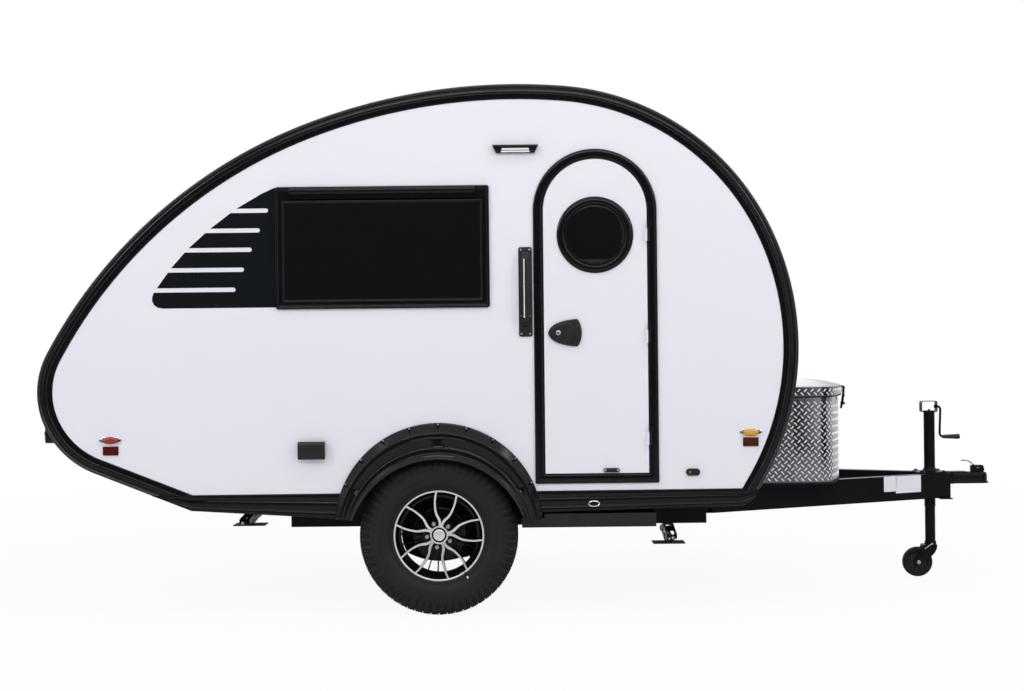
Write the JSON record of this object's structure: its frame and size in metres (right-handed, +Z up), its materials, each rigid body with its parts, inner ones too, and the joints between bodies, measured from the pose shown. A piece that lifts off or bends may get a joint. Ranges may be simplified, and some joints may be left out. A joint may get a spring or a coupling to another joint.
{
  "type": "teardrop trailer",
  "caption": "small travel trailer with a teardrop body, arched side door, round-cornered windows, tread-plate front tub, A-frame tongue with jack wheel, corner stabilizers",
  "frame": {"origin": "on the ground, below the middle of the overall length and width", "axes": "+X forward along the length, +Y to the left, +Z up; the door side is -Y"},
  "size_m": [4.702, 2.176, 2.521],
  "materials": {
    "body_white": "gloss",
    "trim_black": "gloss",
    "dark_plastic": "satin",
    "floor_board": "satin",
    "tinted_glass": "gloss",
    "chassis_black": "satin",
    "tread_plate": "satin",
    "zinc_steel": "satin",
    "tyre_rubber": "matte",
    "machined_alloy": "satin",
    "lamp_red": "gloss"
  },
  "bodies": {
    "trailer": {"axle_beam": "chassis_black", "chassis_frame": "chassis_black", "coupler": "chassis_black", "door_frame": "trim_black", "edge_trims": "trim_black", "fender_flares": "dark_plastic", "floor_panel": "floor_board", "front_tub": "tread_plate", "jack_crank": "zinc_steel", "jack_tube": "chassis_black", "marker_lamps": "lamp_red", "roof_shell": "body_white", "roof_vent_base": "body_white", "side_panel_left": "body_white", "side_panel_right": "body_white", "side_skirts": "trim_black", "tail_lamps": "lamp_red", "tongue_rails": "chassis_black", "wall_fittings": "dark_plastic", "wheel_wells": "dark_plastic", "window_frames": "trim_black", "window_panes": "tinted_glass"},
    "wheel_right": {"tyre_right": "tyre_rubber", "wheel_right": "machined_alloy"},
    "wheel_left": {"tyre_left": "tyre_rubber", "wheel_left": "machined_alloy"},
    "door": {"door_leaf": "body_white", "door_porthole": "trim_black", "door_latch": "dark_plastic"},
    "hatch": {"rear_hatch": "body_white"},
    "roof_vent": {"roof_vent_lid": "dark_plastic"},
    "tub_lid": {"tub_lid": "tread_plate"},
    "jack_ram": {"jack_ram": "chassis_black"},
    "caster_fork": {"caster_fork": "chassis_black"},
    "caster_wheel": {"caster_wheel": "dark_plastic"},
    "step": {"entry_step": "chassis_black"},
    "stabilizer_front_right_upper_inner": {"stabilizer_front_right_upper_inner": "chassis_black"},
    "stabilizer_front_right_lower_inner": {"stabilizer_front_right_lower_inner": "chassis_black"},
    "stabilizer_front_right_upper_outer": {"stabilizer_front_right_upper_outer": "chassis_black"},
    "stabilizer_front_right_lower_outer": {"stabilizer_front_right_lower_outer": "chassis_black"},
    "stabilizer_front_right_screw": {"stabilizer_front_right_screw": "zinc_steel"},
    "stabilizer_front_right_foot": {"stabilizer_front_right_foot": "chassis_black"},
    "stabilizer_front_left_upper_inner": {"stabilizer_front_left_upper_inner": "chassis_black"},
    "stabilizer_front_left_lower_inner": {"stabilizer_front_left_lower_inner": "chassis_black"},
    "stabilizer_front_left_upper_outer": {"stabilizer_front_left_upper_outer": "chassis_black"},
    "stabilizer_front_left_lower_outer": {"stabilizer_front_left_lower_outer": "chassis_black"},
    "stabilizer_front_left_screw": {"stabilizer_front_left_screw": "zinc_steel"},
    "stabilizer_front_left_foot": {"stabilizer_front_left_foot": "chassis_black"},
    "stabilizer_rear_right_upper_inner": {"stabilizer_rear_right_upper_inner": "chassis_black"},
    "stabilizer_rear_right_lower_inner": {"stabilizer_rear_right_lower_inner": "chassis_black"},
    "stabilizer_rear_right_upper_outer": {"stabilizer_rear_right_upper_outer": "chassis_black"},
    "stabilizer_rear_right_lower_outer": {"stabilizer_rear_right_lower_outer": "chassis_black"},
    "stabilizer_rear_right_screw": {"stabilizer_rear_right_screw": "zinc_steel"},
    "stabilizer_rear_right_foot": {"stabilizer_rear_right_foot": "chassis_black"},
    "stabilizer_rear_left_upper_inner": {"stabilizer_rear_left_upper_inner": "chassis_black"},
    "stabilizer_rear_left_lower_inner": {"stabilizer_rear_left_lower_inner": "chassis_black"},
    "stabilizer_rear_left_upper_outer": {"stabilizer_rear_left_upper_outer": "chassis_black"},
    "stabilizer_rear_left_lower_outer": {"stabilizer_rear_left_lower_outer": "chassis_black"},
    "stabilizer_rear_left_screw": {"stabilizer_rear_left_screw": "zinc_steel"},
    "stabilizer_rear_left_foot": {"stabilizer_rear_left_foot": "chassis_black"}
  },
  "joints": [
    {"name": "wheel_right_spin", "type": "hinge", "parent": "trailer", "child": "wheel_right", "pos_m": [-0.501, -0.9305, 0.3665], "axis": [0, 1, 0], "continuous": true},
    {"name": "wheel_left_spin", "type": "hinge", "parent": "trailer", "child": "wheel_left", "pos_m": [-0.501, 0.9305, 0.3665], "axis": [0, 1, 0], "continuous": true},
    {"name": "door_hinge", "type": "hinge", "parent": "trailer", "child": "door", "pos_m": [0.48, -1.023, 1.372], "axis": [0, 0, 1], "range_deg": [0, 170]},
    {"name": "hatch_hinge", "type": "hinge", "parent": "trailer", "child": "hatch", "pos_m": [-2.3417, 0, 1.13875], "axis": [0, 1, 0], "range_deg": [0, 80]},
    {"name": "roof_vent_hinge", "type": "hinge", "parent": "trailer", "child": "roof_vent", "pos_m": [-0.12, 0, 2.477], "axis": [0, 1, 0], "range_deg": [0, 60]},
    {"name": "tub_lid_hinge", "type": "hinge", "parent": "trailer", "child": "tub_lid", "pos_m": [1.189, 0, 1.01], "axis": [0, -1, 0], "range_deg": [0, 65]},
    {"name": "step_slide", "type": "slide", "parent": "trailer", "child": "step", "axis": [0, -1, 0], "range_m": [0, 0.2]},
    {"name": "jack_lift", "type": "slide", "parent": "trailer", "child": "jack_ram", "axis": [0, 0, 1], "range_m": [0, 0.155]},
    {"name": "caster_swivel", "type": "hinge", "parent": "jack_ram", "child": "caster_fork", "pos_m": [2.043, 0, 0.17], "axis": [0, 0, 1], "continuous": true},
    {"name": "caster_spin", "type": "hinge", "parent": "caster_fork", "child": "caster_wheel", "pos_m": [1.973, 0, 0.078], "axis": [0, 1, 0], "continuous": true},
    {"name": "stabilizer_front_right_lift", "type": "hinge", "parent": "trailer", "child": "stabilizer_front_right_upper_inner", "pos_m": [0.593, -0.639, 0.357], "axis": [-1, 0, 0], "range_deg": [-6.5, 50]},
    {"name": "stabilizer_front_right_upper_outer_pivot", "type": "hinge", "parent": "trailer", "child": "stabilizer_front_right_upper_outer", "pos_m": [0.593, -0.671, 0.357], "axis": [1, 0, 0], "range_deg": [-7, 50.5]},
    {"name": "stabilizer_front_right_lower_inner_pivot", "type": "hinge", "parent": "stabilizer_front_right_upper_inner", "child": "stabilizer_front_right_lower_inner", "pos_m": [0.593, -0.49176, 0.32838], "axis": [1, 0, 0], "range_deg": [-13.5, 100.5]},
    {"name": "stabilizer_front_right_lower_outer_pivot", "type": "hinge", "parent": "stabilizer_front_right_upper_outer", "child": "stabilizer_front_right_lower_outer", "pos_m": [0.593, -0.81824, 0.32838], "axis": [-1, 0, 0], "range_deg": [-13.5, 100.5]},
    {"name": "stabilizer_front_right_screw_pivot", "type": "hinge", "parent": "stabilizer_front_right_upper_inner", "child": "stabilizer_front_right_screw", "pos_m": [0.593, -0.49176, 0.32838], "axis": [1, 0, 0], "range_deg": [-7, 50.5]},
    {"name": "stabilizer_front_right_foot_pivot", "type": "hinge", "parent": "stabilizer_front_right_lower_inner", "child": "stabilizer_front_right_foot", "pos_m": [0.593, -0.639, 0.29976], "axis": [-1, 0, 0], "range_deg": [-7, 50.5]},
    {"name": "stabilizer_front_left_lift", "type": "hinge", "parent": "trailer", "child": "stabilizer_front_left_upper_inner", "pos_m": [0.593, 0.639, 0.357], "axis": [1, 0, 0], "range_deg": [-6.5, 50]},
    {"name": "stabilizer_front_left_upper_outer_pivot", "type": "hinge", "parent": "trailer", "child": "stabilizer_front_left_upper_outer", "pos_m": [0.593, 0.671, 0.357], "axis": [-1, 0, 0], "range_deg": [-7, 50.5]},
    {"name": "stabilizer_front_left_lower_inner_pivot", "type": "hinge", "parent": "stabilizer_front_left_upper_inner", "child": "stabilizer_front_left_lower_inner", "pos_m": [0.593, 0.49176, 0.32838], "axis": [-1, 0, 0], "range_deg": [-13.5, 100.5]},
    {"name": "stabilizer_front_left_lower_outer_pivot", "type": "hinge", "parent": "stabilizer_front_left_upper_outer", "child": "stabilizer_front_left_lower_outer", "pos_m": [0.593, 0.81824, 0.32838], "axis": [1, 0, 0], "range_deg": [-13.5, 100.5]},
    {"name": "stabilizer_front_left_screw_pivot", "type": "hinge", "parent": "stabilizer_front_left_upper_inner", "child": "stabilizer_front_left_screw", "pos_m": [0.593, 0.49176, 0.32838], "axis": [-1, 0, 0], "range_deg": [-7, 50.5]},
    {"name": "stabilizer_front_left_foot_pivot", "type": "hinge", "parent": "stabilizer_front_left_lower_inner", "child": "stabilizer_front_left_foot", "pos_m": [0.593, 0.639, 0.29976], "axis": [1, 0, 0], "range_deg": [-7, 50.5]},
    {"name": "stabilizer_rear_right_lift", "type": "hinge", "parent": "trailer", "child": "stabilizer_rear_right_upper_inner", "pos_m": [-1.43, -0.639, 0.43], "axis": [-1, 0, 0], "range_deg": [0, 56.5]},
    {"name": "stabilizer_rear_right_upper_outer_pivot", "type": "hinge", "parent": "trailer", "child": "stabilizer_rear_right_upper_outer", "pos_m": [-1.43, -0.671, 0.43], "axis": [1, 0, 0], "range_deg": [-0.5, 57]},
    {"name": "stabilizer_rear_right_lower_inner_pivot", "type": "hinge", "parent": "stabilizer_rear_right_upper_inner", "child": "stabilizer_rear_right_lower_inner", "pos_m": [-1.43, -0.48946, 0.41823], "axis": [1, 0, 0], "range_deg": [-0.5, 113.5]},
    {"name": "stabilizer_rear_right_lower_outer_pivot", "type": "hinge", "parent": "stabilizer_rear_right_upper_outer", "child": "stabilizer_rear_right_lower_outer", "pos_m": [-1.43, -0.82054, 0.41823], "axis": [-1, 0, 0], "range_deg": [-0.5, 113.5]},
    {"name": "stabilizer_rear_right_screw_pivot", "type": "hinge", "parent": "stabilizer_rear_right_upper_inner", "child": "stabilizer_rear_right_screw", "pos_m": [-1.43, -0.48946, 0.41823], "axis": [1, 0, 0], "range_deg": [-0.5, 57]},
    {"name": "stabilizer_rear_right_foot_pivot", "type": "hinge", "parent": "stabilizer_rear_right_lower_inner", "child": "stabilizer_rear_right_foot", "pos_m": [-1.43, -0.639, 0.40646], "axis": [-1, 0, 0], "range_deg": [-0.5, 57]},
    {"name": "stabilizer_rear_left_lift", "type": "hinge", "parent": "trailer", "child": "stabilizer_rear_left_upper_inner", "pos_m": [-1.43, 0.639, 0.43], "axis": [1, 0, 0], "range_deg": [0, 56.5]},
    {"name": "stabilizer_rear_left_upper_outer_pivot", "type": "hinge", "parent": "trailer", "child": "stabilizer_rear_left_upper_outer", "pos_m": [-1.43, 0.671, 0.43], "axis": [-1, 0, 0], "range_deg": [-0.5, 57]},
    {"name": "stabilizer_rear_left_lower_inner_pivot", "type": "hinge", "parent": "stabilizer_rear_left_upper_inner", "child": "stabilizer_rear_left_lower_inner", "pos_m": [-1.43, 0.48946, 0.41823], "axis": [-1, 0, 0], "range_deg": [-0.5, 113.5]},
    {"name": "stabilizer_rear_left_lower_outer_pivot", "type": "hinge", "parent": "stabilizer_rear_left_upper_outer", "child": "stabilizer_rear_left_lower_outer", "pos_m": [-1.43, 0.82054, 0.41823], "axis": [1, 0, 0], "range_deg": [-0.5, 113.5]},
    {"name": "stabilizer_rear_left_screw_pivot", "type": "hinge", "parent": "stabilizer_rear_left_upper_inner", "child": "stabilizer_rear_left_screw", "pos_m": [-1.43, 0.48946, 0.41823], "axis": [-1, 0, 0], "range_deg": [-0.5, 57]},
    {"name": "stabilizer_rear_left_foot_pivot", "type": "hinge", "parent": "stabilizer_rear_left_lower_inner", "child": "stabilizer_rear_left_foot", "pos_m": [-1.43, 0.639, 0.40646], "axis": [1, 0, 0], "range_deg": [-0.5, 57]}
  ],
  "couplings": [
    {"joint": "stabilizer_front_right_upper_outer_pivot", "follows": "stabilizer_front_right_lift", "ratio": 1},
    {"joint": "stabilizer_front_right_lower_inner_pivot", "follows": "stabilizer_front_right_lift", "ratio": 2},
    {"joint": "stabilizer_front_right_lower_outer_pivot", "follows": "stabilizer_front_right_lift", "ratio": 2},
    {"joint": "stabilizer_front_right_screw_pivot", "follows": "stabilizer_front_right_lift", "ratio": 1},
    {"joint": "stabilizer_front_right_foot_pivot", "follows": "stabilizer_front_right_lift", "ratio": 1},
    {"joint": "stabilizer_front_left_upper_outer_pivot", "follows": "stabilizer_front_left_lift", "ratio": 1},
    {"joint": "stabilizer_front_left_lower_inner_pivot", "follows": "stabilizer_front_left_lift", "ratio": 2},
    {"joint": "stabilizer_front_left_lower_outer_pivot", "follows": "stabilizer_front_left_lift", "ratio": 2},
    {"joint": "stabilizer_front_left_screw_pivot", "follows": "stabilizer_front_left_lift", "ratio": 1},
    {"joint": "stabilizer_front_left_foot_pivot", "follows": "stabilizer_front_left_lift", "ratio": 1},
    {"joint": "stabilizer_rear_right_upper_outer_pivot", "follows": "stabilizer_rear_right_lift", "ratio": 1},
    {"joint": "stabilizer_rear_right_lower_inner_pivot", "follows": "stabilizer_rear_right_lift", "ratio": 2},
    {"joint": "stabilizer_rear_right_lower_outer_pivot", "follows": "stabilizer_rear_right_lift", "ratio": 2},
    {"joint": "stabilizer_rear_right_screw_pivot", "follows": "stabilizer_rear_right_lift", "ratio": 1},
    {"joint": "stabilizer_rear_right_foot_pivot", "follows": "stabilizer_rear_right_lift", "ratio": 1},
    {"joint": "stabilizer_rear_left_upper_outer_pivot", "follows": "stabilizer_rear_left_lift", "ratio": 1},
    {"joint": "stabilizer_rear_left_lower_inner_pivot", "follows": "stabilizer_rear_left_lift", "ratio": 2},
    {"joint": "stabilizer_rear_left_lower_outer_pivot", "follows": "stabilizer_rear_left_lift", "ratio": 2},
    {"joint": "stabilizer_rear_left_screw_pivot", "follows": "stabilizer_rear_left_lift", "ratio": 1},
    {"joint": "stabilizer_rear_left_foot_pivot", "follows": "stabilizer_rear_left_lift", "ratio": 1}
  ]
}
